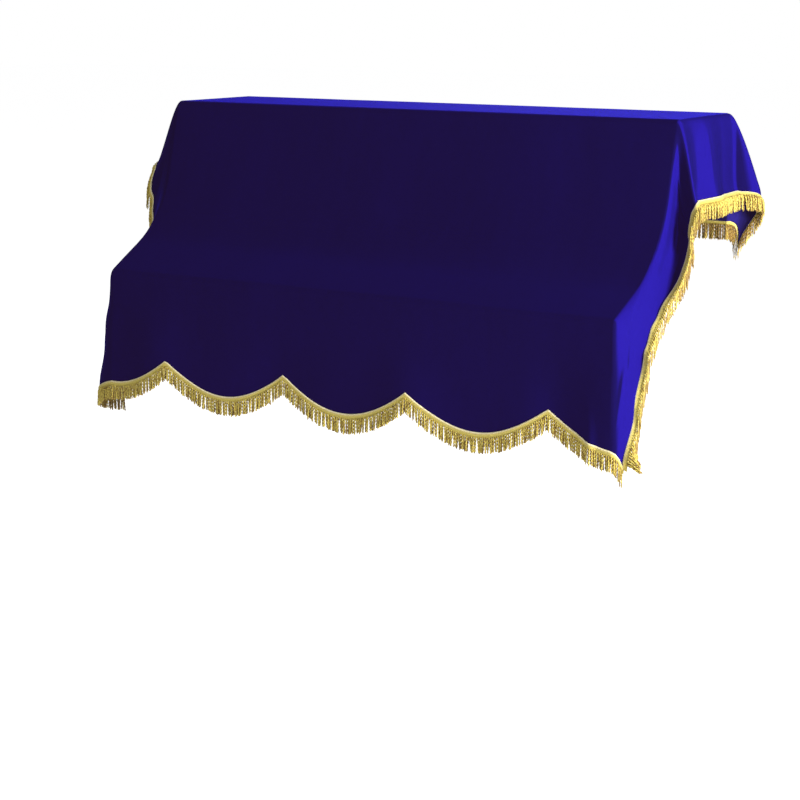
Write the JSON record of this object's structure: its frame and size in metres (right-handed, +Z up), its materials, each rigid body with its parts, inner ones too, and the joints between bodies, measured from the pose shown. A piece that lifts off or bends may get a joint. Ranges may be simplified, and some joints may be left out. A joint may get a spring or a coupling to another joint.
{
  "type": "piano cover",
  "caption": "Deep blue velvet cover draped over an upright piano, with a scalloped front edge and gold fringe on every edge",
  "frame": {"origin": "middle of the underside of the cloth's flat top, at the height of the piano's lid", "axes": "+X across the piano to its right-hand side seen from the front, -Y the front with the keyboard, +Z up"},
  "size_m": [1.727, 0.7233, 0.8637],
  "materials": {
    "velvet": "matte",
    "gold_fringe": "satin"
  },
  "bodies": {
    "root": {"velvet_cloth": "velvet", "front_fringe": "gold_fringe", "right_fringe": "gold_fringe", "left_fringe": "gold_fringe", "back_fringe": "gold_fringe"}
  },
  "joints": []
}
